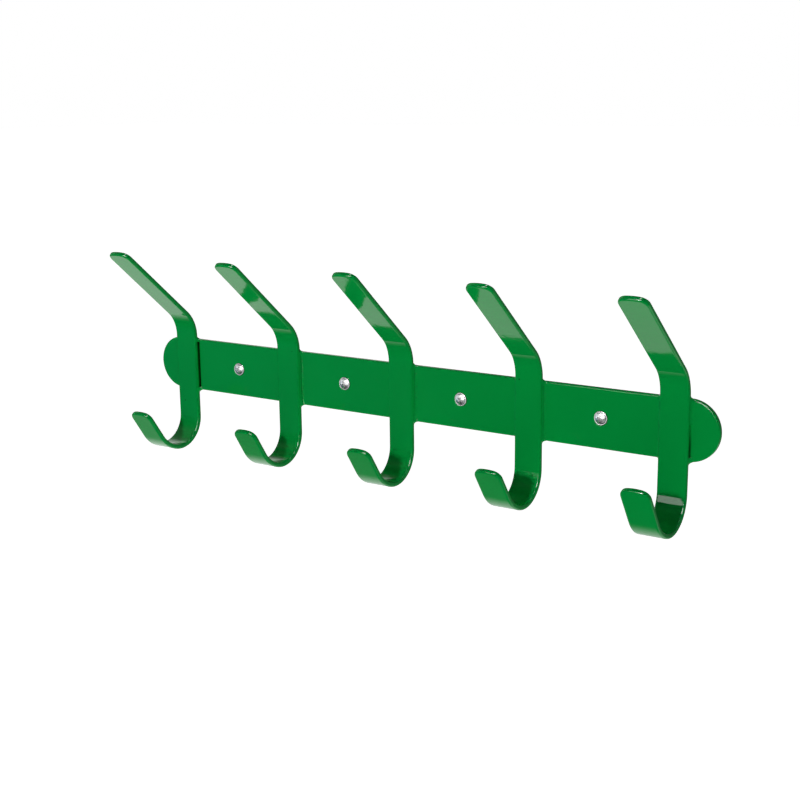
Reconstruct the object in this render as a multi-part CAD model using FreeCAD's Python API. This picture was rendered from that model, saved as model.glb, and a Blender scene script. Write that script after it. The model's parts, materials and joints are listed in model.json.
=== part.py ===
import FreeCAD, Part
import math
import os

# Wall-mounted hook rail: one flat steel rail with full-radius ends, five flat
# steel hooks (long upper prong for a coat, hat or rug, J below for tack or a
# bag) welded to its front face, and four raised-countersunk wood screws.
# Millimetres.  +X along the rail, +Z up, the wall is the plane y = 0 and the
# hooks reach out towards -Y.  Origin: centre of the rail's back face.

V = FreeCAD.Vector

# ---------------------------------------------------------------- rail
RAIL_END_LEFT = -289.6       # x of the rounded end's tip
RAIL_END_RIGHT = 288.9
RAIL_H = 50.0                # height of the flat bar
RAIL_T = 5.0                 # thickness
RAIL_EDGE_R = 1.2            # rounded, coated edges

# ---------------------------------------------------------------- hooks
HOOK_W = 24.6                # width of the flat bar, over the coating
HOOK_T = 4.3                 # thickness, over the coating
HOOK_EDGE_R = 1.5            # rounded, coated edges
UPPER_CORNER_Z = 40.6        # height where the upright's and prong's middle lines cross
UPPER_BEND_R = 29.3          # inside radius of the upper bend
UPPER_TILT = 49.0            # prong's lean forward from vertical, degrees
UPPER_LEN = 112.2            # from that corner to the tip, along the prong
LOWER_BOTTOM = 77.1          # depth of the J's outside below the rail's middle
LOWER_R1 = 23.7              # inside radius of the J's first part
LOWER_R2 = 30.8              # inside radius of the rest of the J
LOWER_SPLIT = 100.6          # angle where the first radius ends, degrees
LOWER_TURN = 146.1           # total turn of the J, degrees
LOWER_STRAIGHT = 29.0        # straight run to the J's tip
TIP_LEN = 8.0                # length over which a tip is rounded
TIP_CORNER_R = 7.6           # radius at the corners of a tip

# each hook's place and its own small deviations, as hand-bent bars have:
# name, x, prong length, prong tilt, prong corner height, J end length,
# J turn, J depth
HOOKS = [
    ("hook_1", -253.3, 2.3, 0.6, 2.0, 3.1, -0.3, 1.1),
    ("hook_2", -127.1, 1.0, 0.5, 0.3, -0.4, 1.5, 0.8),
    ("hook_3", -1.8, 0.0, 0.0, 0.0, 0.0, 0.0, 0.0),
    ("hook_4", 124.9, -1.8, 0.1, 1.1, 1.4, -0.2, -0.1),
    ("hook_5", 252.7, 0.2, 0.7, 0.6, 7.6, 1.5, 1.4),
]

# ---------------------------------------------------------------- welds
WELD_LEG = 3.2               # leg of the fillet weld down each side of a hook
WELD_BACK = 2.4              # how far its ends wrap over the rail's edge

# ---------------------------------------------------------------- screws
SCREW_X = [-189.9, -65.2, 57.8, 189.2]
SCREW_Z = 0.5                # the holes sit a touch above the middle
SCREW_TURN = [20.0, 62.0, 35.0, 8.0]   # how each recess happens to stand
HEAD_R = 5.95                # raised countersunk head, diameter 11.9
HEAD_RIM = 0.35              # height of the rim above the rail's face
HEAD_DOME = 1.70             # height of the dome above the rail's face
NECK_TOP_R = 3.25            # tapered shoulder through the rail, under the head
NECK_R = 3.10                # and at the rail's back face
SHANK_R = 3.00               # plain shank behind the rail, diameter 6
SHANK_LEN = 14.0
ROOT_R = 2.05                # thread root
CREST_R = 2.90               # thread crest
THREAD_PITCH = 2.8
THREAD_TURNS = 10
POINT_LEN = 5.0
RECESS_DEPTH = 2.9
RECESS_R = 3.1               # reach of the cross's arms
HOLE_R = 3.45                # clearance hole in the rail
CSK_R = 6.15                 # mouth of the countersink


def wire_of(points):
    """Closed wire from ('L', p) and ('A', mid, p) steps after a start point."""
    start = points[0]
    edges, last = [], start
    for step in points[1:]:
        if step[0] == "L":
            edges.append(Part.LineSegment(last, step[1]).toShape())
            last = step[1]
        else:
            edges.append(Part.Arc(last, step[1], step[2]).toShape())
            last = step[2]
    if last.distanceToPoint(start) > 1e-6:
        edges.append(Part.LineSegment(last, start).toShape())
    return Part.Wire(edges)


def make_rail():
    r = RAIL_H / 2
    xl, xr = RAIL_END_LEFT + r, RAIL_END_RIGHT - r
    w = wire_of([
        V(xl, 0, -r),
        ("L", V(xr, 0, -r)),
        ("A", V(xr + r, 0, 0), V(xr, 0, r)),
        ("L", V(xl, 0, r)),
        ("A", V(xl - r, 0, 0), V(xl, 0, -r)),
    ])
    plate = Part.Face(w).extrude(V(0, -RAIL_T, 0))
    edges = [e for e in plate.Edges
             if abs(e.BoundBox.YMax - e.BoundBox.YMin) < 1e-6]
    plate = plate.makeFillet(RAIL_EDGE_R, edges)
    for x in SCREW_X:
        depth = CSK_R - HOLE_R
        drill = Part.makeCylinder(HOLE_R, RAIL_T + 2, V(x, 1, SCREW_Z), V(0, -1, 0))
        cone = Part.makeCone(HOLE_R, CSK_R + 1.0, depth + 1.0,
                             V(x, -RAIL_T + depth, SCREW_Z), V(0, -1, 0))
        plate = plate.cut(drill).cut(cone)
    return plate.Solids[0]


def rot(v, a):
    return (v[0] * math.cos(a) - v[1] * math.sin(a),
            v[0] * math.sin(a) + v[1] * math.cos(a))


class Strip:
    """The side view of a hook: a band of thickness t about a middle line of
    lines and arcs, in (d, z) with d the distance out from the wall."""

    def __init__(self, start, heading, t):
        self.p, self.h, self.t = start, heading, t
        self.left, self.right = [], []

    def off(self, s):
        nx, nz = -math.sin(self.h), math.cos(self.h)
        return (self.p[0] + nx * s, self.p[1] + nz * s)

    def line(self, length):
        a = (self.off(self.t / 2), self.off(-self.t / 2))
        self.p = (self.p[0] + length * math.cos(self.h),
                  self.p[1] + length * math.sin(self.h))
        b = (self.off(self.t / 2), self.off(-self.t / 2))
        self.left.append(("L", a[0], b[0]))
        self.right.append(("L", a[1], b[1]))

    def arc(self, radius, turn):
        """radius of the middle line; positive turn goes left."""
        s = 1 if turn > 0 else -1
        c = self.off(s * radius)
        p0, h0 = self.p, self.h
        out = []
        for f in (0.0, 0.5, 1.0):
            a = turn * f
            rel = (p0[0] - c[0], p0[1] - c[1])
            q = rot(rel, a)
            self.p = (c[0] + q[0], c[1] + q[1])
            self.h = h0 + a
            out.append((self.off(self.t / 2), self.off(-self.t / 2)))
        self.left.append(("A", out[0][0], out[1][0], out[2][0]))
        self.right.append(("A", out[0][1], out[1][1], out[2][1]))


def tip_cutter(at, heading, x0):
    """Everything outside a tip's rounded end; at is the tip in (d, z)."""
    w, r1 = HOOK_W / 2, TIP_CORNER_R
    c = TIP_LEN
    r2 = ((w - r1) ** 2 + c * c - r1 * r1) / (2 * (c - r1))
    # local frame: u along the strip (0 at the tip), x across
    k = (w - r1) / (r2 - r1)                    # sine of the end arc's half angle
    jx, ju = r2 * k, -r2 + r2 * math.sqrt(1 - k * k)
    a = math.asin(k)
    m = (math.pi / 2 + a) / 2                   # middle of the corner arc, from u
    mx, mu = (w - r1) + r1 * math.sin(m), -c + r1 * math.cos(m)
    far = 6.0

    def P(x, u, n):
        ux, uz = math.cos(heading), math.sin(heading)
        nx, nz = -math.sin(heading), math.cos(heading)
        d = at[0] + ux * u + nx * n
        z = at[1] + uz * u + nz * n
        return V(x0 + x, -d, z)

    n0 = -10.0
    w_ = wire_of([
        P(-w, -c, n0),
        ("A", P(-mx, mu, n0), P(-jx, ju, n0)),
        ("A", P(0, 0, n0), P(jx, ju, n0)),
        ("A", P(mx, mu, n0), P(w, -c, n0)),
        ("L", P(w + far, -c, n0)),
        ("L", P(w + far, far, n0)),
        ("L", P(-w - far, far, n0)),
        ("L", P(-w - far, -c, n0)),
    ])
    return Part.Face(w_).extrude(P(0, 0, 10.0) - P(0, 0, n0))


def face_kind(f):
    s = f.Surface
    name = type(s).__name__
    if name == "Plane":
        return "side" if abs(s.Axis.x) > 0.99 else "broad"
    if name == "Cylinder":
        return "broad" if abs(s.Axis.x) > 0.99 else "side"
    return "other"


def make_hook(x0, d_len, d_tilt, d_corner, d_jlen, d_turn, d_depth):
    t = HOOK_T
    mid = RAIL_T + t / 2
    tilt = math.radians(UPPER_TILT + d_tilt)
    ru = UPPER_BEND_R + t / 2
    tl = ru * math.tan(tilt / 2)
    z_up = UPPER_CORNER_Z + d_corner - tl
    up_len = UPPER_LEN + d_len - tl
    z_low = -(LOWER_BOTTOM + d_depth - LOWER_R1 - t)
    turn = math.radians(LOWER_TURN + d_turn)
    split = math.radians(LOWER_SPLIT)
    j_len = LOWER_STRAIGHT + d_jlen

    # from the upright's top end, up and out along the upper prong
    up = Strip((mid, z_up), math.pi / 2, t)
    up.arc(ru, -tilt)
    up.line(up_len)
    up_tip, up_head = up.p, up.h
    # from the upright's lower end, down and round the J
    lo = Strip((mid, z_low), -math.pi / 2, t)
    lo.arc(LOWER_R1 + t / 2, split)
    lo.arc(LOWER_R2 + t / 2, turn - split)
    lo.line(j_len)
    lo_tip, lo_head = lo.p, lo.h

    def P(q):
        return V(x0 - HOOK_W / 2, -q[0], q[1])

    # the upper strip's left is the wall side; the lower strip's right is
    steps, start = [], P(lo.right[0][1])
    steps.append(start)
    first_up = P(up.left[0][1])
    steps.append(("L", first_up))
    for s in up.left:
        steps.append(("A", P(s[2]), P(s[3])) if s[0] == "A" else ("L", P(s[2])))
    steps.append(("L", P(up.right[-1][2])))
    for s in reversed(up.right):
        steps.append(("A", P(s[2]), P(s[1])) if s[0] == "A" else ("L", P(s[1])))
    steps.append(("L", P(lo.left[0][1])))
    for s in lo.left:
        steps.append(("A", P(s[2]), P(s[3])) if s[0] == "A" else ("L", P(s[2])))
    steps.append(("L", P(lo.right[-1][2])))
    for s in reversed(lo.right):
        steps.append(("A", P(s[2]), P(s[1])) if s[0] == "A" else ("L", P(s[1])))
    band = Part.Face(wire_of(steps)).extrude(V(HOOK_W, 0, 0))
    band = band.cut(tip_cutter(up_tip, up_head, x0))
    band = band.cut(tip_cutter(lo_tip, lo_head, x0))
    if band.ShapeType == "Compound":
        band = band.Solids[0]
    faces = band.Faces
    kinds = [face_kind(f) for f in faces]
    edges = []
    for e in band.Edges:
        owners = [kinds[i] for i, f in enumerate(faces)
                  if any(e.isSame(g) for g in f.Edges)]
        if sorted(owners) == ["broad", "side"]:
            edges.append(e)
    return band.makeFillet(HOOK_EDGE_R, edges).Solids[0]


def make_weld(x0, hook, rail):
    """A concave fillet down each side of the hook; its ends wrap over the
    rail's top and bottom edges."""
    g, b = WELD_LEG, HOOK_EDGE_R + 0.4
    solids = []
    for s in (1, -1):
        xe = x0 + s * HOOK_W / 2
        y0 = -RAIL_T

        def X(v):
            return xe + s * v

        h = RAIL_H / 2
        zt = h + g + 0.5
        plan = wire_of([
            V(X(-b), y0 + WELD_BACK, -zt),
            ("L", V(X(g), y0 + WELD_BACK, -zt)),
            ("L", V(X(g), y0 - 0.05, -zt)),
            ("A", V(X(g * 0.37), y0 - g * 0.37, -zt), V(X(0.05), y0 - g, -zt)),
            ("L", V(X(-b), y0 - g, -zt)),
        ])
        bead = Part.Face(plan).extrude(V(0, 0, 2 * zt))
        ys = y0 + WELD_BACK + 1
        front = wire_of([
            V(X(-b - 1), ys, -h - g),
            ("L", V(X(0.05), ys, -h - g)),
            ("A", V(X(g * 0.37), ys, -h - g * 0.37), V(X(g), ys, -h - 0.05)),
            ("L", V(X(g), ys, h + 0.05)),
            ("A", V(X(g * 0.37), ys, h + g * 0.37), V(X(0.05), ys, h + g)),
            ("L", V(X(-b - 1), ys, h + g)),
        ])
        outline = Part.Face(front).extrude(V(0, -(g + WELD_BACK + 4), 0))
        bead = bead.common(outline).cut(hook).cut(rail)
        solids.append(max(bead.Solids, key=lambda q: q.Volume))
    return Part.makeCompound(solids)


def make_screw(x, turn):
    y0 = -RAIL_T
    r = HEAD_R
    # profile in (radius, y), revolved about the screw's axis
    neck_y = y0 + (r - NECK_TOP_R)
    pts = [V(x, y0 - HEAD_DOME, 0)]
    mid_r = r * 0.52
    mid_y = y0 - HEAD_RIM - (HEAD_DOME - HEAD_RIM) * (1 - (mid_r / r) ** 2)
    pts.append(("A", V(x + mid_r, mid_y, 0), V(x + r - 0.1, y0 - HEAD_RIM, 0)))
    pts.append(("L", V(x + r, y0 - HEAD_RIM + 0.15, 0)))
    pts.append(("L", V(x + r, y0, 0)))
    pts.append(("L", V(x + NECK_TOP_R, neck_y, 0)))
    pts.append(("L", V(x + NECK_R, -0.25, 0)))
    pts.append(("L", V(x + SHANK_R, 0.0, 0)))
    pts.append(("L", V(x + SHANK_R, SHANK_LEN, 0)))
    y = SHANK_LEN + 1.0
    pts.append(("L", V(x + ROOT_R, y, 0)))
    for i in range(THREAD_TURNS):
        crest = CREST_R if i < THREAD_TURNS - 1 else CREST_R - 0.3
        pts.append(("L", V(x + ROOT_R, y + 0.9, 0)))
        pts.append(("L", V(x + crest, y + 1.75, 0)))
        pts.append(("L", V(x + crest, y + 1.95, 0)))
        pts.append(("L", V(x + ROOT_R, y + THREAD_PITCH, 0)))
        y += THREAD_PITCH
    pts.append(("L", V(x + 0.25, y + POINT_LEN, 0)))
    pts.append(("L", V(x, y + POINT_LEN, 0)))
    body = Part.Face(wire_of(pts)).revolve(V(x, 0, 0), V(0, 1, 0), 360)
    if body.ShapeType != "Solid":
        body = Part.Solid(Part.Shell(body.Faces)) if not body.Solids else body.Solids[0]
    if body.Volume < 0:
        body.reverse()
    # cross recess: two tapered slots
    for a in (0.0, 90.0):
        top, bot, th0, th1 = RECESS_R, 1.1, 0.72, 0.42
        yt, yb = y0 - HEAD_DOME - 0.2, y0 - HEAD_DOME + RECESS_DEPTH

        def ring(y_, hw, ht):
            return Part.makePolygon([V(x - hw, y_, -ht), V(x + hw, y_, -ht),
                                     V(x + hw, y_, ht), V(x - hw, y_, ht),
                                     V(x - hw, y_, -ht)])
        slot = Part.makeLoft([ring(yt, top, th0), ring(yb, bot, th1)], True)
        slot.rotate(V(x, 0, 0), V(0, 1, 0), a + turn)
        body = body.cut(slot)
    body = body.Solids[0]
    body.translate(V(0, 0, SCREW_Z))
    return body


os.makedirs("parts", exist_ok=True)

parts = {}
rail = make_rail()
parts["back_plate"] = rail
for name, x0, *deviations in HOOKS:
    hook = make_hook(x0, *deviations)
    parts[name] = hook
    parts["weld_" + name] = make_weld(x0, hook, rail)
for i, x in enumerate(SCREW_X):
    parts["screw_%d" % (i + 1)] = make_screw(x, SCREW_TURN[i])

for name in sorted(parts):
    s = parts[name]
    b = s.BoundBox
    print("%-14s %-9s solids %d valid %s volume %.1f mm3  x %.1f..%.1f y %.1f..%.1f z %.1f..%.1f" % (
        name, s.ShapeType, len(s.Solids), s.isValid(), s.Volume,
        b.XMin, b.XMax, b.YMin, b.YMax, b.ZMin, b.ZMax))
    s.exportStep("parts/%s.step" % name)
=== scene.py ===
import json
import math

import bmesh
import bpy
import numpy as np
from mathutils import Matrix, Vector, noise
from mathutils.geometry import delaunay_2d_cdt

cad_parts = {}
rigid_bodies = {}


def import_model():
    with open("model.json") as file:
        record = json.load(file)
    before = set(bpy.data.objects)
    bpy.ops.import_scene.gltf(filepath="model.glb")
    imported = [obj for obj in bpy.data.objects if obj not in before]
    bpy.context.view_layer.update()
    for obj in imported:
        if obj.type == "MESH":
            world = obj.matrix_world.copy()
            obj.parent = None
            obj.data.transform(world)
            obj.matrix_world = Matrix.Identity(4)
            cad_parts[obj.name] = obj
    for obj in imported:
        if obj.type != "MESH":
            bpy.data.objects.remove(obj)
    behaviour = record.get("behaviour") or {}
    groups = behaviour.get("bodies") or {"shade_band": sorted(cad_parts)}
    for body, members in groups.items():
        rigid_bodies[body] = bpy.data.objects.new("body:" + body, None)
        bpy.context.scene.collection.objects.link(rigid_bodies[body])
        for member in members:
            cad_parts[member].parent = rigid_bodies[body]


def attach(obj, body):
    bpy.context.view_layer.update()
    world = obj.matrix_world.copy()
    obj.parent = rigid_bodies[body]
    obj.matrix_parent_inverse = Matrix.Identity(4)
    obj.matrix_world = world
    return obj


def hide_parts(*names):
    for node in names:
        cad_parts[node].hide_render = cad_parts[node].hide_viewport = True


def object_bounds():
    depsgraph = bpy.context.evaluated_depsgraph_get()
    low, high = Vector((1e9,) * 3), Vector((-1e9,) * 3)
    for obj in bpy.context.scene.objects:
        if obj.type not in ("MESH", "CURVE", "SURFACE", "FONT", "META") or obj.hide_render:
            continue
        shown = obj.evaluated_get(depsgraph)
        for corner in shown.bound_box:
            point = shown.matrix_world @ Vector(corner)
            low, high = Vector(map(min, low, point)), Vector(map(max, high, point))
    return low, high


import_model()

# The frame is in metres; the shapes below are worked out in millimetres in the
# same axes: X along the rail, +Z up, the wall is y = 0, the hooks reach to -Y.
CAD_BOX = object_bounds()
MM = 0.001

# ------------------------------------------------------------------ sizes
RAIL_L, RAIL_R, RAIL_H, RAIL_T, RAIL_EDGE = -289.6, 288.9, 50.0, 5.0, 1.2
HOOK_W, HOOK_T, HOOK_EDGE = 24.6, 4.3, 1.5
CORNER_Z, BEND_R, TILT, PRONG = 40.6, 29.3, 49.0, 112.2
BOTTOM, J_R1, J_R2, J_SPLIT, J_TURN, J_END = 77.1, 23.7, 30.8, 100.6, 146.1, 29.0
TIP_LEN, TIP_R = 8.0, 7.6
HOOKS = [
    ("hook_1", -253.3, 2.3, 0.6, 2.0, 3.1, -0.3, 1.1),
    ("hook_2", -127.1, 1.0, 0.5, 0.3, -0.4, 1.5, 0.8),
    ("hook_3", -1.8, 0.0, 0.0, 0.0, 0.0, 0.0, 0.0),
    ("hook_4", 124.9, -1.8, 0.1, 1.1, 1.4, -0.2, -0.1),
    ("hook_5", 252.7, 0.2, 0.7, 0.6, 7.6, 1.5, 1.4),
]
WELD_LEG = 3.2
SCREW_X, SCREW_Z = [-189.9, -65.2, 57.8, 189.2], 0.5
SCREW_TURN = [20.0, 62.0, 35.0, 8.0]
HEAD_R, HEAD_RIM, HEAD_DOME = 5.95, 0.35, 1.70
NECK_TOP_R, NECK_R, SHANK_R, SHANK_LEN = 3.25, 3.10, 3.00, 14.0
ROOT_R, CREST_R, PITCH, TURNS, POINT = 2.05, 2.90, 2.8, 10, 5.0
RECESS_DEPTH, RECESS_R = 2.9, 3.1
HOLE_R, CSK_R = 3.45, 6.15


# ---------------------------------------------------------------- helpers
def new_object(name, verts_mm, faces, sharp=None):
    me = bpy.data.meshes.new(name)
    me.from_pydata([tuple(float(c) * MM for c in v) for v in verts_mm], [], faces)
    bm = bmesh.new()
    bm.from_mesh(me)
    bmesh.ops.remove_doubles(bm, verts=bm.verts, dist=1e-7)
    bmesh.ops.dissolve_degenerate(bm, edges=bm.edges, dist=1e-8)
    bmesh.ops.recalc_face_normals(bm, faces=bm.faces)
    bm.to_mesh(me)
    bm.free()
    me.polygons.foreach_set("use_smooth", [True] * len(me.polygons))
    if sharp is not None:
        me.set_sharp_from_angle(angle=math.radians(sharp))
    me.update()
    ob = bpy.data.objects.new(name, me)
    bpy.context.scene.collection.objects.link(ob)
    return ob


def bridge(a, b, closed=True):
    n = len(a)
    return [(a[i], a[(i + 1) % n], b[(i + 1) % n], b[i])
            for i in range(n if closed else n - 1)]


def sway(ob, amount, size, seed):
    """The uneven thickness of a dipped coat: moves each point a few
    hundredths of a millimetre along its normal."""
    me = ob.data
    off = Vector((seed * 7.31, seed * 3.17, seed * 1.93))
    normals = [v.normal.copy() for v in me.vertices]
    for v, n in zip(me.vertices, normals):
        p = v.co / MM
        k = noise.noise(p / size + off) + 0.45 * noise.noise(p / (size * 0.37) + off)
        v.co += n * (amount * k * MM)
    me.update()


# ------------------------------------------------------------ bent hooks
def hook_line(d_len, d_tilt, d_corner, d_jlen, d_turn, d_depth):
    """Middle line of a hook as a function of the length along it, measured
    from the foot of the upright: (d, z, heading)."""
    mid = RAIL_T + HOOK_T / 2
    tilt = math.radians(TILT + d_tilt)
    ru = BEND_R + HOOK_T / 2
    tl = ru * math.tan(tilt / 2)
    z_up = CORNER_Z + d_corner - tl
    up_len = PRONG + d_len - tl
    z_low = -(BOTTOM + d_depth - J_R1 - HOOK_T)
    r1, r2 = J_R1 + HOOK_T / 2, J_R2 + HOOK_T / 2
    split = math.radians(J_SPLIT)
    rest = math.radians(J_TURN + d_turn) - split
    j_len = J_END + d_jlen

    def run(parts, p, h, s):
        for kind, length, k in parts:
            step = min(s, length)
            if kind == "L" or step == 0:
                p = (p[0] + step * math.cos(h), p[1] + step * math.sin(h))
            else:
                # k is the signed radius, positive to the left
                c = (p[0] - math.sin(h) * k, p[1] + math.cos(h) * k)
                a = step / k
                h += a
                p = (c[0] + math.sin(h) * k, c[1] - math.cos(h) * k)
            s -= step
            if s <= 0:
                break
        return p, h

    up = [("L", z_up - z_low, 0), ("A", ru * tilt, -ru), ("L", up_len, 0)]
    low = [("A", r1 * split, r1), ("A", r2 * rest, r2), ("L", j_len, 0)]

    def at(s):
        if s >= 0:
            p, h = run(up, (mid, z_low), math.pi / 2, s)
        else:
            p, h = run(low, (mid, z_low), -math.pi / 2, -s)
            h += math.pi
        return p[0], p[1], h

    s_low = -sum(q[1] for q in low)
    s_up = sum(q[1] for q in up)
    breaks = [s_low, -(low[0][1] + low[1][1]), -low[0][1], 0.0,
              up[0][1], up[0][1] + up[1][1], s_up]
    return at, breaks


def stations(breaks, lo, hi):
    """Lengths at which sections are cut: close together round the bends."""
    out = []
    for i, (a, b) in enumerate(zip(breaks[:-1], breaks[1:])):
        curved = i in (1, 2, 4)
        a, b = max(a, lo), min(b, hi)
        n = max(1, round((b - a) / (1.25 if curved else 2.6)))
        out += [a + (b - a) * k / n for k in range(n)]
    return out + [hi]


def make_hook(name, x0, *dev):
    at, breaks = hook_line(*dev)
    w, t, re, r1 = HOOK_W / 2, HOOK_T, HOOK_EDGE, TIP_R
    r2 = ((w - r1) ** 2 + TIP_LEN ** 2 - r1 * r1) / (2 * (TIP_LEN - r1))
    a = math.asin((w - r1) / (r2 - r1))
    s0, s1 = breaks[0], breaks[-1]
    mid = stations(breaks, s0 + TIP_LEN, s1 - TIP_LEN)
    nx, nc = 12, 10
    frac = [2 * k / nx - 1 for k in range(nx + 1)]

    def side(delta):
        """(s, x) up one side, from the lower end's corner to the upper one."""
        pts = []
        for k in range(nc):
            al = a + (math.pi / 2 - a) * k / nc
            pts.append((s0 + TIP_LEN - (r1 - delta) * math.cos(al),
                        (w - r1) + (r1 - delta) * math.sin(al)))
        pts += [(s, w - delta) for s in mid]
        for k in range(1, nc + 1):
            al = math.pi / 2 + (a - math.pi / 2) * k / nc
            pts.append((s1 - TIP_LEN + (r1 - delta) * math.cos(al),
                        (w - r1) + (r1 - delta) * math.sin(al)))
        return pts

    def end(delta, top):
        pts = []
        for f in frac[1:-1]:
            al = math.asin(f * math.sin(a))
            ds = -r2 + (r2 - delta) * math.cos(al)
            pts.append((s1 + ds if top else s0 - ds, (r2 - delta) * math.sin(al)))
        return pts

    verts, faces = [], []

    def put(s, x, n):
        # beyond an end the line runs straight on, so s is held to the ends
        d, z, h = at(min(max(s, s0), s1))
        verts.append((x0 + x, -(d + n * math.sin(h)), z - n * math.cos(h)))
        return len(verts) - 1

    def ring(delta, n):
        r = side(delta)
        ids = [put(s, -x, n) for s, x in r]
        ids += [put(s, x, n) for s, x in end(delta, True)]
        ids += [put(s, x, n) for s, x in reversed(r)]
        ids += [put(s, x, n) for s, x in reversed(end(delta, False))]
        return ids

    q = 8
    quarter = [(re * (1 - math.sin(math.pi / 2 * k / q)),
                t / 2 - re * (1 - math.cos(math.pi / 2 * k / q))) for k in range(q + 1)]
    profile = [(re + 0.35, t / 2)] + quarter + [(d, -n) for d, n in reversed(quarter)]
    profile += [(re + 0.35, -t / 2)]
    rings = [ring(d, n) for d, n in profile]
    for r, s in zip(rings[:-1], rings[1:]):
        faces += bridge(r, s)
    m = len(side(0.0))
    for r, (delta, n) in ((rings[0], profile[0]), (rings[-1], profile[-1])):
        rows, sd = [], side(delta)
        left = r[:m]
        right = list(reversed(r[m + nx - 1:2 * m + nx - 1]))
        for j in range(m):
            s, x = sd[j]
            rows.append([left[j]] + [put(s, x * f, n) for f in frac[1:-1]] + [right[j]])
        for p0, p1 in zip(rows[:-1], rows[1:]):
            faces += bridge(p0, p1, closed=False)
        top = [left[-1]] + r[m:m + nx - 1] + [right[-1]]
        bot = [left[0]] + list(reversed(r[2 * m + nx - 1:])) + [right[0]]
        for row, arc in ((rows[-1], top), (rows[0], bot)):
            for k in range(nx):
                f = [row[k], row[k + 1], arc[k + 1], arc[k]]
                f = list(dict.fromkeys(f))
                faces.append(tuple(f))
    return new_object(name, verts, faces)


# ------------------------------------------------------------------ rail
def make_rail(name):
    verts, faces = [], []
    rr = RAIL_H / 2
    xl, xr = RAIL_L + rr, RAIL_R - rr

    def outline(delta):
        r, pts = rr - delta, []
        for k in range(41):
            al = -math.pi / 2 + math.pi * k / 40
            pts.append((xr + r * math.cos(al), r * math.sin(al)))
        n = 100
        pts += [(xr + (xl - xr) * k / n, r) for k in range(1, n)]
        for k in range(41):
            al = math.pi / 2 + math.pi * k / 40
            pts.append((xl + r * math.cos(al), r * math.sin(al)))
        pts += [(xl + (xr - xl) * k / n, -r) for k in range(1, n)]
        return pts

    def ring(pts, y):
        i = len(verts)
        verts.extend((x, y, z) for x, z in pts)
        return list(range(i, len(verts)))

    def circle(x, r, y):
        return ring([(x + r * math.cos(math.tau * k / 64),
                      SCREW_Z + r * math.sin(math.tau * k / 64)) for k in range(64)], y)

    e, q = RAIL_EDGE, 7
    quarter = [(e * (1 - math.sin(math.pi / 2 * k / q)),
                e * (1 - math.cos(math.pi / 2 * k / q))) for k in range(q + 1)]
    profile = [(e + 0.4, -RAIL_T)] + [(d, -RAIL_T + h) for d, h in quarter]
    profile += [(d, -h) for d, h in reversed(quarter)] + [(e + 0.4, 0.0)]
    rings = [ring(outline(d), y) for d, y in profile]
    for r, s in zip(rings[:-1], rings[1:]):
        faces += bridge(r, s)
    # the holes: a softened mouth, the countersink, the bore and the back edge
    deep = CSK_R - HOLE_R
    wall = [(CSK_R + 0.75, -RAIL_T), (CSK_R + 0.35, -RAIL_T), (CSK_R + 0.17, -RAIL_T + 0.04),
            (CSK_R + 0.02, -RAIL_T + 0.14), (CSK_R - 0.12, -RAIL_T + 0.28),
            (CSK_R - 0.8, -RAIL_T + 0.9), (HOLE_R + 0.25, -RAIL_T + deep - 0.2),
            (HOLE_R + 0.05, -RAIL_T + deep + 0.05), (HOLE_R, -RAIL_T + deep + 0.3),
            (HOLE_R, -0.7), (HOLE_R, -0.35), (HOLE_R + 0.06, -0.12),
            (HOLE_R + 0.2, 0.0), (HOLE_R + 0.6, 0.0)]
    mouths, backs = [], []
    for x in SCREW_X:
        loop = [circle(x, r, y) for r, y in wall]
        for r, s in zip(loop[:-1], loop[1:]):
            faces += bridge(r, s)
        mouths.append(loop[0])
        backs.append(loop[-1])
    # the two broad faces, triangulated evenly between the outline and the holes
    for outer, holes, hole_r, y in ((rings[0], mouths, CSK_R + 0.75, -RAIL_T),
                                    (rings[-1], backs, HOLE_R + 0.6, 0.0)):
        ids, edges = list(outer), []
        n = len(outer)
        edges += [(i, (i + 1) % n) for i in range(n)]
        for h in holes:
            b = len(ids)
            ids += h
            edges += [(b + i, b + (i + 1) % len(h)) for i in range(len(h))]
        step = 4.0
        for i in range(int((RAIL_R - RAIL_L) / step) + 1):
            for j in range(int(RAIL_H / step) + 1):
                x = RAIL_L + step * (i + 0.5 * (j % 2))
                z = -RAIL_H / 2 + step * (j + 0.25)
                cx = min(max(x, xl), xr)
                if math.hypot(x - cx, z) > rr - e - 2.0:
                    continue
                if any(math.hypot(x - sx, z - SCREW_Z) < hole_r + 1.6 for sx in SCREW_X):
                    continue
                verts.append((x, y, z))
                ids.append(len(verts) - 1)
        co = [Vector((verts[i][0], verts[i][2])) for i in ids]
        out, _, tris, src, _, _ = delaunay_2d_cdt(co, edges, [], 0, 1e-6)
        back_to = [ids[s[0]] for s in src]
        for tri in tris:
            c = sum((out[i] for i in tri), Vector((0, 0))) / len(tri)
            if any(math.hypot(c.x - sx, c.y - SCREW_Z) < hole_r - 0.01 for sx in SCREW_X):
                continue
            faces.append(tuple(back_to[i] for i in tri))
    return new_object(name, verts, faces)


# ----------------------------------------------------------- weld fillets
def box_field(qx, qy, qz, r):
    """Distance to a rounded box from the folded coordinates."""
    out = np.sqrt(np.maximum(qx, 0) ** 2 + np.maximum(qy, 0) ** 2 + np.maximum(qz, 0) ** 2)
    return out + np.minimum(np.maximum(np.maximum(qx, qy), qz), 0) - r


def rail_field(x, y, z):
    rr, e = RAIL_H / 2, RAIL_EDGE
    cx = np.clip(x, RAIL_L + rr, RAIL_R - rr)
    a = np.hypot(x - cx, z) - rr + e
    b = np.abs(y + RAIL_T / 2) - RAIL_T / 2 + e
    return np.hypot(np.maximum(a, 0), np.maximum(b, 0)) + np.minimum(np.maximum(a, b), 0) - e


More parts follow.
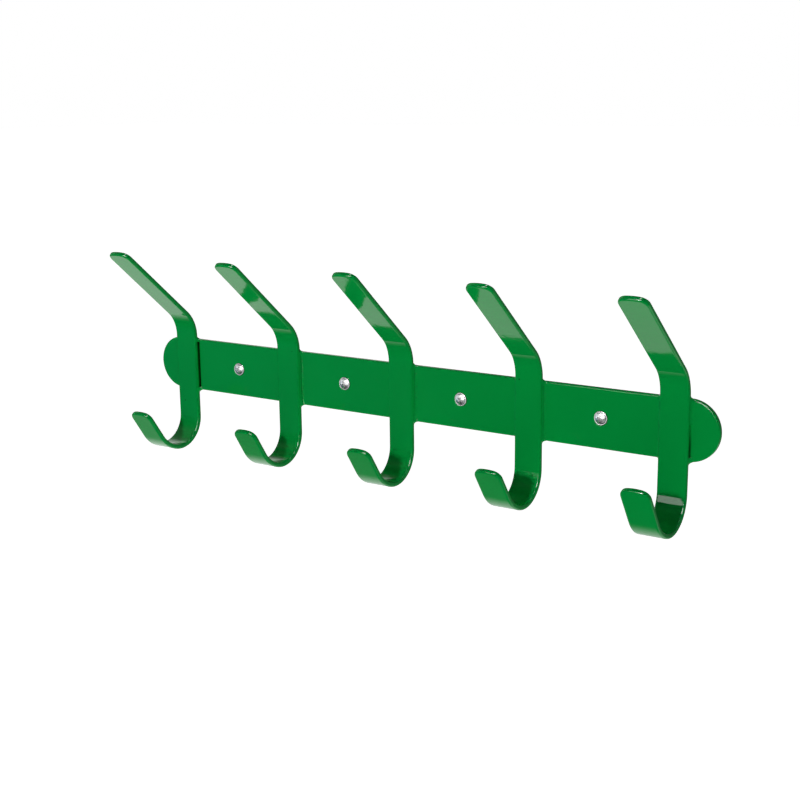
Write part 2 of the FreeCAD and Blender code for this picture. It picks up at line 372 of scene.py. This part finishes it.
def bar_field(x, y, z, x0, z_up, ru):
    """Distance to the upright of a hook near the rail; above z_up it starts to
    lean forward."""
    lean = np.maximum(z - z_up, 0) ** 2 / (2 * ru)
    mid = -(RAIL_T + HOOK_T / 2) - lean
    a = np.abs(x - x0) - HOOK_W / 2 + HOOK_EDGE
    b = np.abs(y - mid) - HOOK_T / 2 + HOOK_EDGE
    return np.hypot(np.maximum(a, 0), np.maximum(b, 0)) + np.minimum(np.maximum(a, b), 0) - HOOK_EDGE


def surface_nets(f, origin, h):
    """A closed quad mesh of the surface f = 0 of a sampled field."""
    nx, ny, nz = f.shape
    inside = f < 0
    c = np.zeros((nx - 1, ny - 1, nz - 1), int)
    for i in (0, 1):
        for j in (0, 1):
            for k in (0, 1):
                c += inside[i:nx - 1 + i, j:ny - 1 + j, k:nz - 1 + k]
    cells = (c > 0) & (c < 8)
    index = -np.ones(cells.shape, int)
    at = np.argwhere(cells)
    index[tuple(at.T)] = np.arange(len(at))
    total = np.zeros((len(at), 3))
    count = np.zeros(len(at))
    corners = [(i, j, k) for i in (0, 1) for j in (0, 1) for k in (0, 1)]
    for p in corners:
        for ax in range(3):
            if p[ax]:
                continue
            q = list(p)
            q[ax] = 1
            fa = f[tuple((at + p).T)]
            fb = f[tuple((at + q).T)]
            m = (fa < 0) != (fb < 0)
            t = np.where(m, fa / np.where(m, fa - fb, 1), 0)
            pos = np.array(p, float)[None, :].repeat(len(at), 0)
            pos[:, ax] = t
            total[m] += pos[m]
            count[m] += 1
    verts = origin + h * (at + total / count[:, None])
    faces = []
    for ax in range(3):
        lo = [slice(1, -1)] * 3
        lo[ax] = slice(0, -1)
        hi = [slice(1, -1)] * 3
        hi[ax] = slice(1, None)
        flip = inside[tuple(lo)] != inside[tuple(hi)]
        es = np.argwhere(flip) + [0 if i == ax else 1 for i in range(3)]
        u, v = [i for i in range(3) if i != ax]
        for e in es:
            q = []
            for du, dv in ((0, 0), (-1, 0), (-1, -1), (0, -1)):
                c_ = e.copy()
                c_[u] += du
                c_[v] += dv
                q.append(int(index[tuple(c_)]))
            faces.append(tuple(q))
    return verts, faces


# where the run has not wetted the hook's right side: width, from z, to z
OPEN_SIDE = {"weld_hook_1_bead": (3.9, -22.0, 22.5), "weld_hook_5_bead": (2.0, -21.0, 5.0)}


def make_weld(name, x0, seed, *dev):
    d_len, d_tilt, d_corner = dev[:3]
    tilt = math.radians(TILT + d_tilt)
    ru = BEND_R + HOOK_T / 2
    z_up = CORNER_Z + d_corner - ru * math.tan(tilt / 2)
    w = HOOK_W / 2
    rng = np.random.default_rng(100 + seed)
    phase = rng.uniform(0, math.tau, 6)

    def leg(x, y, z):
        """The bead's leg: full down the sides, a thin run of coating behind."""
        edge = np.clip((np.abs(x - x0) - (w - 3.6)) / 3.0, 0, 1)
        edge = edge * edge * (3 - 2 * edge)
        side = np.sign(x - x0)
        g = 1.1 + (WELD_LEG - 1.1) * edge
        ripple = (0.10 * np.sin(z * 2.1 + phase[0] + side) + 0.07 * np.sin(z * 0.63 + phase[1] * side)
                  + 0.05 * np.sin(z * 3.3 + phase[2] + y))
        turn = np.exp(-((np.abs(z) - RAIL_H / 2) / 2.4) ** 2)
        return g + (ripple + 1.2 * turn) * edge - 0.10

    def fields(x, y, z):
        a = rail_field(x, y, z)
        b = bar_field(x, y, z, x0, z_up, ru)
        g = leg(x, y, z)
        f = np.maximum(g, np.minimum(a, b)) - np.hypot(np.maximum(g - a, 0), np.maximum(g - b, 0))
        return a, b, g, f + 0.015

    def gap(a, b, x, z):
        if name not in OPEN_SIDE:
            return np.full(np.shape(a), -9.0)
        wide, z0, z1 = OPEN_SIDE[name]
        return -np.maximum.reduce([b - wide, -0.3 - a, x0 - x, z0 - z, z - z1])

    h = 0.32
    lo = np.array([x0 - w - 6.0, -RAIL_T - 6.4, -RAIL_H / 2 - 6.0])
    hi = np.array([x0 + w + 6.0, 0.9, RAIL_H / 2 + 6.0])
    n = np.ceil((hi - lo) / h).astype(int) + 1
    gx, gy, gz = np.meshgrid(*[lo[i] + h * np.arange(n[i]) for i in range(3)], indexing="ij")
    a, b, g, f = fields(gx, gy, gz)
    inner = -0.7 - np.minimum(a, b)
    frame_ = np.minimum(w - np.abs(gx - x0), RAIL_H / 2 - np.abs(gz)) - 2.6
    whole = np.maximum.reduce([f, inner, a - g, b - g, frame_, gap(a, b, gx, gz)])
    verts, faces = surface_nets(whole, lo, h)
    # settle the visible points on the exact fillet
    for _ in range(3):
        x, y, z = verts.T
        a, b, g, f = fields(x, y, z)
        inner = -0.7 - np.minimum(a, b)
        fr = np.minimum(w - np.abs(x - x0), RAIL_H / 2 - np.abs(z)) - 2.6
        other = np.maximum.reduce([inner, a - g, b - g, fr, gap(a, b, x, z)])
        m = f > other - 0.05
        d = 0.02
        grad = np.stack([(fields(x + d, y, z)[3] - fields(x - d, y, z)[3]),
                         (fields(x, y + d, z)[3] - fields(x, y - d, z)[3]),
                         (fields(x, y, z + d)[3] - fields(x, y, z - d)[3])], -1) / (2 * d)
        step = -f[:, None] * grad / np.maximum((grad ** 2).sum(-1), 0.2)[:, None]
        verts = verts + np.where(m[:, None], np.clip(step, -h / 2, h / 2), 0)
    return new_object(name, verts, faces)


# ---------------------------------------------------------------- screws
def cut_with(ob, verts, faces):
    tool = new_object(ob.name + "_tool", verts, faces)
    mod = ob.modifiers.new("recess", "BOOLEAN")
    mod.operation, mod.solver, mod.object = "DIFFERENCE", "EXACT", tool
    dg = bpy.context.evaluated_depsgraph_get()
    me = bpy.data.meshes.new_from_object(ob.evaluated_get(dg))
    ob.modifiers.clear()
    old = ob.data
    ob.data = me
    bpy.data.meshes.remove(old)
    bpy.data.objects.remove(tool)


def make_screw(name):
    """One raised countersunk wood screw about the Y axis through the origin,
    with the recess straight; y = 0 is the rail's back face."""
    cols = 72
    y0, r = -RAIL_T, HEAD_R
    prof = []
    n = 34
    for k in range(1, n + 1):                       # the dome
        rad = (r - 0.14) * k / n
        dip = 0.16 * math.exp(-((rad - (r - 1.0)) / 0.28) ** 2)
        lip = 0.10 * math.exp(-((rad - (r - 0.42)) / 0.30) ** 2)
        prof.append((rad, y0 - HEAD_RIM - (HEAD_DOME - HEAD_RIM) * (1 - (rad / (r - 0.14)) ** 2) + dip - lip))
    prof += [(r - 0.06, y0 - HEAD_RIM + 0.03), (r - 0.01, y0 - HEAD_RIM + 0.10),
             (r, y0 - HEAD_RIM + 0.18), (r, y0 - 0.08), (r - 0.03, y0 + 0.02), (r - 0.12, y0 + 0.12)]
    neck_y = y0 + (r - NECK_TOP_R)
    prof += [(NECK_TOP_R + 0.8, neck_y - 0.8), (NECK_TOP_R + 0.1, neck_y - 0.1),
             (NECK_TOP_R, neck_y + 0.1), (NECK_R, -0.25), (SHANK_R, 0.0),
             (SHANK_R, 3.0), (SHANK_R, 8.0), (SHANK_R, SHANK_LEN - 0.3), (SHANK_R, SHANK_LEN)]
    verts, faces, rows = [(0.0, y0 - HEAD_DOME, 0.0)], [], []
    for rad, y in prof:
        rows.append([len(verts) + k for k in range(cols)])
        verts += [(rad * math.cos(math.tau * k / cols), y, rad * math.sin(math.tau * k / cols))
                  for k in range(cols)]
    # the thread: one continuous ridge wound round a tapering core
    y_start, y_end = SHANK_LEN + 0.9, SHANK_LEN + 1.0 + PITCH * TURNS + POINT
    ridge_end = SHANK_LEN + 1.0 + PITCH * (TURNS + 0.8)
    steps = int((y_end - y_start) / 0.14)
    for i in range(steps + 1):
        y = y_start + (y_end - y_start) * i / steps
        row = []
        for k in range(cols):
            ph = k / cols
            left = y_end - y
            core = ROOT_R * min(1.0, (left / (POINT + 2.0)) ** 0.8) if left > 0 else 0.0
            run_in = min(1.0, max(0.0, (y - y_start) / 2.4))
            run_out = min(1.0, max(0.0, (ridge_end - y) / 6.0)) if y < ridge_end else 0.0
            u = ((y - y_start) / PITCH - ph) % 1.0
            crest = max(0.0, 1.0 - abs(u - 0.5) / 0.30)
            crest = min(1.0, crest * 1.12)
            lift = (CREST_R - ROOT_R) * crest * run_in * run_out
            rad = max(core + lift * min(1.0, 0.25 + core / ROOT_R), 0.04)
            row.append((rad * math.cos(math.tau * ph), y, rad * math.sin(math.tau * ph)))
        rows.append([len(verts) + k for k in range(cols)])
        verts += row
    verts.append((0.0, y_end, 0.0))
    faces += [(0, rows[0][k], rows[0][(k + 1) % cols]) for k in range(cols)]
    for p, q in zip(rows[:-1], rows[1:]):
        faces += bridge(p, q)
    last = len(verts) - 1
    faces += [(last, rows[-1][(k + 1) % cols], rows[-1][k]) for k in range(cols)]
    ob = new_object(name, verts, faces)
    # the cross recess: two tapered slots with rounded ends, and a cone between
    yt, yb = y0 - HEAD_DOME - 0.25, y0 - HEAD_DOME + RECESS_DEPTH
    for turn in (0.0, math.pi / 2):
        v, f = [], []
        levels = 6
        for i in range(levels + 1):
            t = i / levels
            y = yt + (yb - yt) * t
            hw = RECESS_R + (1.1 - RECESS_R) * t
            ht = 0.72 + (0.42 - 0.72) * t
            ring = []
            for sx in (1, -1):
                for k in range(7):
                    al = -math.pi / 2 + math.pi * k / 6
                    ring.append((sx * (hw - ht * 0.6 + ht * 0.6 * math.cos(al)), sx * ht * math.sin(al)))
            for px, pz in ring:
                v.append((px * math.cos(turn) - pz * math.sin(turn), y,
                          px * math.sin(turn) + pz * math.cos(turn)))
        m = len(v) // (levels + 1)
        f.append(tuple(range(m)))
        f.append(tuple(reversed(range(len(v) - m, len(v)))))
        for i in range(levels):
            f += bridge(list(range(i * m, (i + 1) * m)), list(range((i + 1) * m, (i + 2) * m)))
        cut_with(ob, v, f)
    v, f = [], []
    for rad, y in ((1.30, yt), (0.62, yb + 0.25)):
        v += [(rad * math.cos(math.tau * k / 32), y, rad * math.sin(math.tau * k / 32)) for k in range(32)]
    f = [tuple(range(32)), tuple(reversed(range(32, 64)))] + bridge(list(range(32)), list(range(32, 64)))
    cut_with(ob, v, f)
    return ob


def place_screw(src, name, x, turn):
    me = src.data.copy()
    a = math.radians(turn)
    for v in me.vertices:
        px, py, pz = v.co
        # turns about +Y, as the recess does in the part
        v.co = (px * math.cos(a) + pz * math.sin(a) + x * MM, py,
                -px * math.sin(a) + pz * math.cos(a) + SCREW_Z * MM)
    me.polygons.foreach_set("use_smooth", [True] * len(me.polygons))
    me.set_sharp_from_angle(angle=math.radians(34))
    me.update()
    ob = bpy.data.objects.new(name, me)
    bpy.context.scene.collection.objects.link(ob)
    return ob


# ------------------------------------------------------------- materials
def material(name):
    m = bpy.data.materials.new(name)
    m.use_nodes = True
    nt = m.node_tree
    nt.nodes.clear()
    out = nt.nodes.new("ShaderNodeOutputMaterial")
    sh = nt.nodes.new("ShaderNodeBsdfPrincipled")
    nt.links.new(sh.outputs[0], out.inputs[0])
    return m, nt, sh


def node(nt, kind, links=None, **values):
    n = nt.nodes.new(kind)
    for k, v in values.items():
        if hasattr(n, k):
            setattr(n, k, v)
        else:
            n.inputs[k.replace("_", " ")].default_value = v
    for k, v in (links or {}).items():
        nt.links.new(v, n.inputs[k])
    return n


def noise_at(nt, scale, detail=2.0, rough=0.5, offset=(0.0, 0.0, 0.0)):
    """3-D noise over the object's own coordinates; scale is 1/m."""
    co = node(nt, "ShaderNodeTexCoord")
    mp = node(nt, "ShaderNodeMapping", {"Vector": co.outputs["Object"]})
    mp.inputs["Location"].default_value = offset
    n = node(nt, "ShaderNodeTexNoise", {"Vector": mp.outputs[0]})
    n.inputs["Scale"].default_value = scale
    n.inputs["Detail"].default_value = detail
    n.inputs["Roughness"].default_value = rough
    return n.outputs["Fac"]


def ramp(nt, fac, stops, ease="LINEAR"):
    r = node(nt, "ShaderNodeValToRGB", {"Fac": fac})
    r.color_ramp.interpolation = ease
    els = r.color_ramp.elements
    while len(els) < len(stops):
        els.new(0.5)
    for e, (p, c) in zip(els, stops):
        e.position = p
        e.color = c if len(c) == 4 else (*c, 1.0)
    return r.outputs["Color"]


def green_coating():
    """Glossy dipped coating on steel."""
    m, nt, sh = material("green_coating")
    tone = noise_at(nt, 14.0, 3.0, 0.55)
    base = ramp(nt, tone, [(0.30, (0.0012, 0.49, 0.078)), (0.70, (0.0016, 0.52, 0.084))])
    # a few dark specks, where grit sits in the coat
    co = node(nt, "ShaderNodeTexCoord")
    vo = node(nt, "ShaderNodeTexVoronoi", {"Vector": co.outputs["Object"]})
    vo.inputs["Scale"].default_value = 95.0
    vo.inputs["Randomness"].default_value = 1.0
    spot = ramp(nt, vo.outputs["Distance"], [(0.0, (1, 1, 1)), (0.045, (1, 1, 1)), (0.075, (0, 0, 0))])
    pick = ramp(nt, vo.outputs["Color"], [(0.0, (1, 1, 1)), (0.24, (1, 1, 1)), (0.25, (0, 0, 0))], "CONSTANT")
    both = node(nt, "ShaderNodeMix", data_type="RGBA", blend_type="MULTIPLY")
    both.inputs["Factor"].default_value = 1.0
    nt.links.new(spot, both.inputs["A"])
    nt.links.new(pick, both.inputs["B"])
    mix = node(nt, "ShaderNodeMix", data_type="RGBA")
    nt.links.new(both.outputs["Result"], mix.inputs["Factor"])
    nt.links.new(base, mix.inputs["A"])
    mix.inputs["B"].default_value = (0.0015, 0.15, 0.024, 1.0)
    # painted shade: a near-black band in the base colour along the open joint on the right of hooks 1 and 5,
    # standing in for the shade in the crevice between hook and rail
    axes = node(nt, "ShaderNodeSeparateXYZ", {"Vector": co.outputs["Object"]})

    def product(p, q, op="MULTIPLY"):
        return node(nt, "ShaderNodeMath", {0: p, 1: q}, operation=op).outputs[0]

    def band(axis, a0, a1, b0, b1):
        ends = []
        for f0, f1, t0, t1 in ((a0, a1, 0.0, 1.0), (b0, b1, 1.0, 0.0)):
            r = node(nt, "ShaderNodeMapRange", {"Value": axes.outputs[axis]}, interpolation_type="SMOOTHSTEP")
            for key, val in (("From Min", f0 * MM), ("From Max", f1 * MM), ("To Min", t0), ("To Max", t1)):
                r.inputs[key].default_value = val
            ends.append(r.outputs["Result"])
        return product(*ends)

    painted_shade = None
    for (name, x0, *dev), wide, full, fade in ((HOOKS[0], 1.9, 1.0, 1.4), (HOOKS[4], 1.3, 0.72, 20.0)):
        low, high = OPEN_SIDE["weld_" + name + "_bead"][1:]
        side = x0 + HOOK_W / 2
        shade_band = product(band("X", side - 0.7, side - 0.4, side + wide - 0.6, side + wide),
                       band("Y", -RAIL_T - 2.0, -RAIL_T - 1.3, -RAIL_T + 0.3, -RAIL_T + 0.6))
        shade_band = product(shade_band, band("Z", low - 1.0, low + 0.4, high + 1.0 - fade, high + 1.0))
        strength = node(nt, "ShaderNodeMath", {0: shade_band}, operation="MULTIPLY")
        strength.inputs[1].default_value = full
        shade_band = strength.outputs[0]
        painted_shade = shade_band if painted_shade is None else product(painted_shade, shade_band, "MAXIMUM")
    # painted shade too: a fainter dark band along the throat of the fillet on the right of hooks 2 to 4
    for (name, x0, *dev), full in ((HOOKS[1], 0.50), (HOOKS[2], 0.25), (HOOKS[3], 0.25)):
        side = x0 + HOOK_W / 2
        shade_band = product(band("X", side + 0.3, side + 0.9, side + 1.7, side + 2.4),
                       band("Y", -RAIL_T - 2.4, -RAIL_T - 1.7, -RAIL_T - 0.9, -RAIL_T - 0.3))
        shade_band = product(shade_band, band("Z", -24.0, -12.0, 20.0, 23.0))
        strength = node(nt, "ShaderNodeMath", {0: shade_band}, operation="MULTIPLY")
        strength.inputs[1].default_value = full
        painted_shade = product(painted_shade, strength.outputs[0], "MAXIMUM")
    # painted shade: the near-black green below is mixed into the base colour wherever the band mask is set
    shade_mix = node(nt, "ShaderNodeMix", data_type="RGBA")
    nt.links.new(painted_shade, shade_mix.inputs["Factor"])
    nt.links.new(mix.outputs["Result"], shade_mix.inputs["A"])
    shade_mix.inputs["B"].default_value = (0.001, 0.042, 0.003, 1.0)
    nt.links.new(shade_mix.outputs["Result"], sh.inputs["Base Color"])
    rough = ramp(nt, noise_at(nt, 60.0, 3.0, 0.6, (0.3, 0.1, 0.7)),
                 [(0.3, (0.045,) * 3), (0.7, (0.075,) * 3)])
    nt.links.new(rough, sh.inputs["Roughness"])
    sh.inputs["IOR"].default_value = 1.5
    # orange peel, with slow waves below it and nibs of grit
    peel = noise_at(nt, 520.0, 1.5, 0.5)
    b1 = node(nt, "ShaderNodeBump", {"Height": peel})
    b1.inputs["Strength"].default_value = 1.0
    b1.inputs["Distance"].default_value = 0.000012
    wave = noise_at(nt, 120.0, 1.0, 0.5, (0.6, 0.2, 0.4))
    b2 = node(nt, "ShaderNodeBump", {"Height": wave, "Normal": b1.outputs[0]})
    b2.inputs["Strength"].default_value = 1.0
    b2.inputs["Distance"].default_value = 0.00005
    b3 = node(nt, "ShaderNodeBump", {"Height": both.outputs["Result"], "Normal": b2.outputs[0]})
    b3.inputs["Strength"].default_value = 1.0
    b3.inputs["Distance"].default_value = 0.00005
    nt.links.new(b3.outputs[0], sh.inputs["Normal"])
    return m


def zinc():
    """Bright zinc plate on the screws, brushed by the driver and the die."""
    m, nt, sh = material("zinc_plate")
    sh.inputs["Metallic"].default_value = 0.88
    tone = ramp(nt, noise_at(nt, 900.0, 4.0, 0.6), [(0.3, (0.86, 0.86, 0.86)), (0.7, (0.96, 0.96, 0.96))])
    nt.links.new(tone, sh.inputs["Base Color"])
    rough = ramp(nt, noise_at(nt, 1400.0, 3.0, 0.6, (0.2, 0.5, 0.1)), [(0.3, (0.19,) * 3), (0.7, (0.27,) * 3)])
    nt.links.new(rough, sh.inputs["Roughness"])
    b = node(nt, "ShaderNodeBump", {"Height": noise_at(nt, 1800.0, 3.0, 0.6)})
    b.inputs["Strength"].default_value = 1.0
    b.inputs["Distance"].default_value = 0.000006
    nt.links.new(b.outputs[0], sh.inputs["Normal"])
    return m


GREEN, ZINC = green_coating(), zinc()


def finish_piece(ob, mat, body, slot, *nodes):
    ob.data.materials.clear()
    ob.data.materials.append(mat)
    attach(ob, body)
    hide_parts(*nodes)


rail = make_rail("back_plate_bar")
sway(rail, 0.030, 42.0, 11)
finish_piece(rail, GREEN, "rail", "green_coating", "back_plate")
for i, (name, x0, *dev) in enumerate(HOOKS):
    hook = make_hook(name + "_bar", x0, *dev)
    sway(hook, 0.045, 26.0, i + 1)
    finish_piece(hook, GREEN, "rail", "green_coating", name)
    weld = make_weld("weld_" + name + "_bead", x0, i, *dev)
    finish_piece(weld, GREEN, "rail", "green_coating", "weld_" + name)
blank = make_screw("screw_blank")
for i, x in enumerate(SCREW_X):
    screw = place_screw(blank, "screw_%d_zinc" % (i + 1), x, SCREW_TURN[i])
    finish_piece(screw, ZINC, "screw_%d_body" % (i + 1), "zinc", "screw_%d" % (i + 1))
bpy.data.objects.remove(blank)

# ---------------------------------------------------------------- camera
cam = bpy.data.cameras.new("camera")
cam.sensor_fit, cam.sensor_width = "HORIZONTAL", 36.0
cam.lens = 36.0 * 1356.104 / 800.0
cam.shift_x, cam.shift_y = -0.605 / 800.0, 0.657 / 800.0
cam.clip_start, cam.clip_end = 0.05, 60.0
cam_ob = bpy.data.objects.new("camera", cam)
bpy.context.scene.collection.objects.link(cam_ob)
right, up, back = ((0.827194, 0.561806, -0.011117), (-0.115769, 0.189749, 0.974983),
                   (0.549861, -0.805214, 0.221999))
cam_ob.matrix_world = Matrix((
    (right[0], up[0], back[0], 0.650979),
    (right[1], up[1], back[1], -0.964455),
    (right[2], up[2], back[2], 0.256476),
    (0, 0, 0, 1)))
bpy.context.scene.camera = cam_ob

# ----------------------------------------------------------- floor, light
lo, hi = CAD_BOX
fl = bpy.data.meshes.new("floor")
fz = lo.z - 0.55
fl.from_pydata([(-30, -30, fz), (30, -30, fz), (30, 30, fz), (-30, 30, fz)], [], [(0, 1, 2, 3)])
floor = bpy.data.objects.new("floor", fl)
bpy.context.scene.collection.objects.link(floor)
fm, fnt, fsh = material("pale_floor")
fsh.inputs["Base Color"].default_value = (0.9, 0.9, 0.9, 1)
fsh.inputs["Roughness"].default_value = 0.9
fsh.inputs["Emission Color"].default_value = (1, 1, 1, 1)
fsh.inputs["Emission Strength"].default_value = 0.93
fl.materials.append(fm)
floor.visible_glossy = False
floor.visible_diffuse = False
floor.visible_shadow = False

world = bpy.data.worlds.new("studio")
bpy.context.scene.world = world
world.use_nodes = True
wn = world.node_tree
wn.nodes.clear()


def calc(op, *args):
    n = wn.nodes.new("ShaderNodeMath")
    n.operation = op
    for i, v in enumerate(args):
        if isinstance(v, (int, float)):
            n.inputs[i].default_value = v
        else:
            wn.links.new(v, n.inputs[i])
    return n.outputs[0]


def step(v, a, b, lo_=0.0, hi_=1.0):
    """lo_ below a, hi_ above b and a smooth turn between them."""
    n = wn.nodes.new("ShaderNodeMapRange")
    n.interpolation_type = "SMOOTHSTEP"
    wn.links.new(v, n.inputs["Value"])
    for k, q in (("From Min", a), ("From Max", b), ("To Min", lo_), ("To Max", hi_)):
        n.inputs[k].default_value = q
    return n.outputs["Result"]


# The studio, by direction: a white sheet behind and below the rail, a dark
# room in front of it and overhead.  +y is towards the wall.
dirs = wn.nodes.new("ShaderNodeTexCoord")
sep = wn.nodes.new("ShaderNodeSeparateXYZ")
wn.links.new(dirs.outputs["Generated"], sep.inputs[0])
dx, dy, dz = sep.outputs
lean = calc("MULTIPLY_ADD", calc("MINIMUM", dx, 0.0), -0.35, -0.245)
sheet = step(calc("ADD", dy, lean), -0.25, 0.30)
sheet = calc("MULTIPLY", sheet, step(dz, 0.42, 0.74, 1.0, 0.0))
level = step(dx, -0.75, -0.40, 1.16, 0.88)
sheet = calc("MULTIPLY", sheet, level)
dim = calc("MULTIPLY", step(dx, -0.45, -0.10), step(dz, -0.60, -0.35))
dim = calc("MAXIMUM", dim, calc("MULTIPLY", step(dx, -0.58, -0.47), step(dz, -0.05, 0.15)))
edge = calc("MULTIPLY", step(dx, -0.92, -0.80, 1.0, 0.0), step(dz, -0.55, -0.35))
sheet = calc("MULTIPLY", sheet, calc("MULTIPLY_ADD", calc("MAXIMUM", dim, edge), -0.88, 1.0))
glow = calc("MULTIPLY", step(dy, -0.75, 0.0), 0.36)
glow = calc("MULTIPLY", glow, step(dz, -0.10, 0.25))
glow = calc("MULTIPLY", glow, step(dy, 0.25, 0.55, 1.0, 0.0))
glow = calc("MULTIPLY", glow, step(dz, 0.60, 0.85, 1.0, 0.0))
glow = calc("MULTIPLY", glow, step(dx, -0.45, -0.15, 1.0, 0.0))
grey = calc("MAXIMUM", calc("MAXIMUM", sheet, glow), 0.004)
# a cool reflection low on the left
blob = calc("ADD", calc("ADD", calc("MULTIPLY", dx, -0.80), calc("MULTIPLY", dy, -0.56)),
            calc("MULTIPLY", dz, -0.21))
blue = step(blob, 0.90, 1.0, 0.0, 1.0)
comb = wn.nodes.new("ShaderNodeCombineXYZ")
wn.links.new(calc("MULTIPLY_ADD", blue, 0.01, grey), comb.inputs[0])
wn.links.new(calc("MULTIPLY_ADD", blue, 0.10, grey), comb.inputs[1])
wn.links.new(calc("MULTIPLY_ADD", blue, 0.17, grey), comb.inputs[2])
studio = node(wn, "ShaderNodeBackground", {"Color": comb.outputs[0]})
plain = node(wn, "ShaderNodeBackground")
plain.inputs["Color"].default_value = (1, 1, 1, 1)
seen = node(wn, "ShaderNodeLightPath")
pick_ = node(wn, "ShaderNodeMixShader", {0: seen.outputs["Is Camera Ray"], 1: studio.outputs[0],
                                        2: plain.outputs[0]})
wout = node(wn, "ShaderNodeOutputWorld", {"Surface": pick_.outputs[0]})


def softbox(name, size_x, size_z, place, radiance):
    """A lit panel facing the middle of the rail."""
    li = bpy.data.lights.new(name, "AREA")
    li.shape, li.size, li.size_y = "RECTANGLE", size_x, size_z
    li.energy = radiance * math.pi * size_x * size_z
    ob = bpy.data.objects.new(name, li)
    ob.location = place
    ob.rotation_mode = "QUATERNION"
    ob.rotation_quaternion = Vector(place).to_track_quat("Z", "Y")
    ob.visible_camera = False
    bpy.context.scene.collection.objects.link(ob)
    return ob


key = softbox("key_softbox", 0.975, 0.71, (-0.1375, -1.5, 0.225), 3.5)
key.rotation_mode = "XYZ"
key.rotation_euler = (math.radians(90), 0, 0)
key.visible_diffuse = False
key_lamp = softbox("key_lamp", 0.12, 0.12, (0.28, -1.77, 0.50), 176.0)
softbox("left_fill", 0.80, 0.60, (-1.05, -1.15, -0.30), 1.2).visible_glossy = False
# two panels that are only there for the glints on the rounded edges
for glint in (softbox("upper_panel", 1.25, 0.75, (0.42, -1.35, 1.10), 12.0),
              softbox("top_panel", 0.40, 0.40, (0.45, -0.45, 1.50), 10.0)):
    glint.visible_diffuse = False


def fill(name, towards, strength, spread):
    """A wide soft fill from the direction given, kept out of the reflections."""
    lamp = bpy.data.lights.new(name, "SUN")
    lamp.energy, lamp.angle = strength, math.radians(spread)
    ob = bpy.data.objects.new(name, lamp)
    bpy.context.scene.collection.objects.link(ob)
    ob.rotation_mode = "QUATERNION"
    ob.rotation_quaternion = Vector(towards).normalized().to_track_quat("Z", "Y")
    ob.visible_glossy = False


fill("low_fill", (0.42, -0.50, -0.74), 0.74, 80.0)
fill("back_fill", (-0.20, 0.50, 0.85), 0.26, 60.0)
fill("right_fill", (0.96, -0.22, 0.15), 0.12, 50.0)

# a paler panel that only the bright screw heads pick up
heads = bpy.data.collections.new("screw_heads")
for i in range(len(SCREW_X)):
    heads.objects.link(bpy.data.objects["screw_%d_zinc" % (i + 1)])
head_panel = softbox("head_panel", 2.2, 0.85, (-0.75, -1.15, -0.05), 0.72)
head_panel.light_linking.receiver_collection = heads
# the small lamp and the upper panel leave the heads out
others = bpy.data.collections.new("without_heads")
for head in heads.objects:
    others.objects.link(head)
for entry in others.collection_objects:
    entry.light_linking.link_state = "EXCLUDE"
key_lamp.light_linking.receiver_collection = others
bpy.data.objects["upper_panel"].light_linking.receiver_collection = others
head_spark = softbox("head_spark", 0.30, 0.22, (0.62, -1.35, 0.95), 3.0)
head_spark.light_linking.receiver_collection = heads
head_low = softbox("head_low", 1.6, 0.8, (0.50, -1.10, -0.75), 0.25)
head_low.light_linking.receiver_collection = heads

bpy.context.scene.view_settings.view_transform = "Standard"
bpy.context.scene.view_settings.look = "None"
